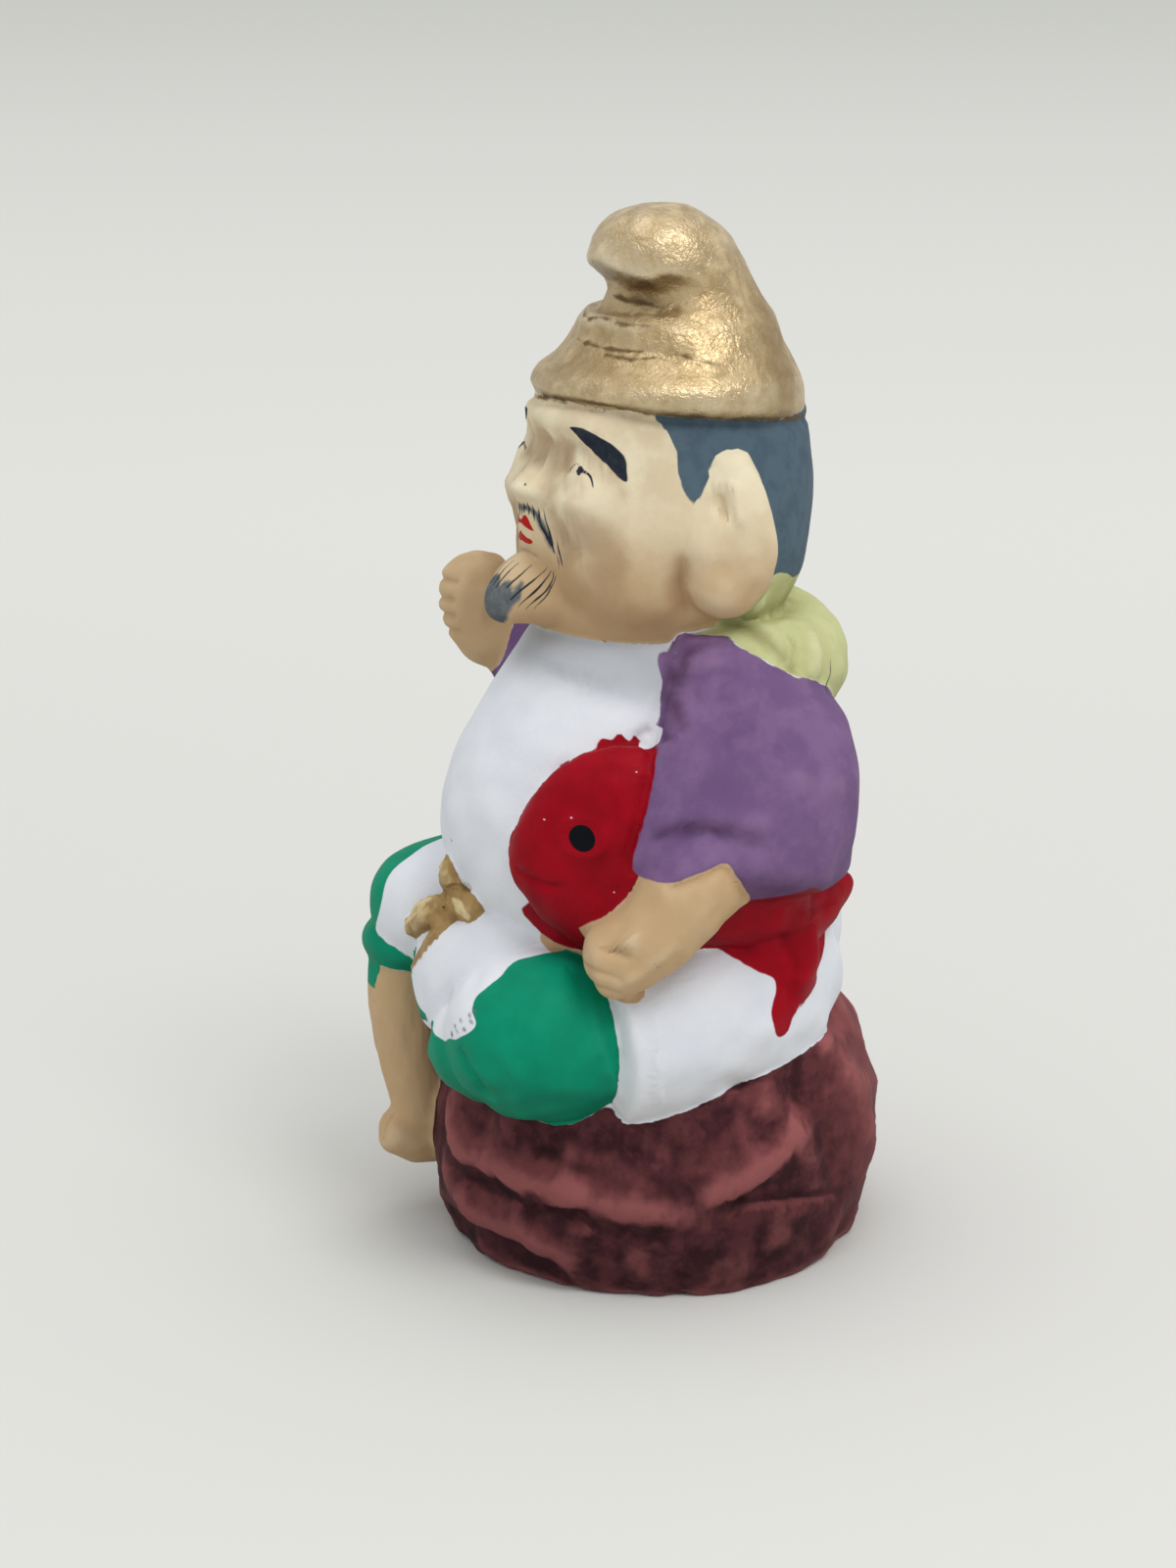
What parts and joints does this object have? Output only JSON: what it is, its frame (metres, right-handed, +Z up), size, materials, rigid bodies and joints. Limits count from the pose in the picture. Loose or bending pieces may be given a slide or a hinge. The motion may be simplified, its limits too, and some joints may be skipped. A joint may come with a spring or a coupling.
{
  "type": "clay lucky god doll",
  "caption": "Moulded and painted clay doll of a seated, bearded lucky god in a soft cap, holding a red sea bream under one arm, on a rock base it stands on.",
  "frame": {"origin": "middle of the bounding box in X and Y, on the ground plane under the rock", "axes": "+Z up; the figure faces -Y; its left side, with the fish, is +X"},
  "size_m": [0.0648, 0.0622, 0.13],
  "materials": {
    "painted_clay": "matt paint on low-fired clay: white robe, purple coat, red fish, green trousers, worn gold cap, red-brown rock"
  },
  "bodies": {
    "root": {"ebisu_doll": "painted_clay"}
  },
  "joints": []
}
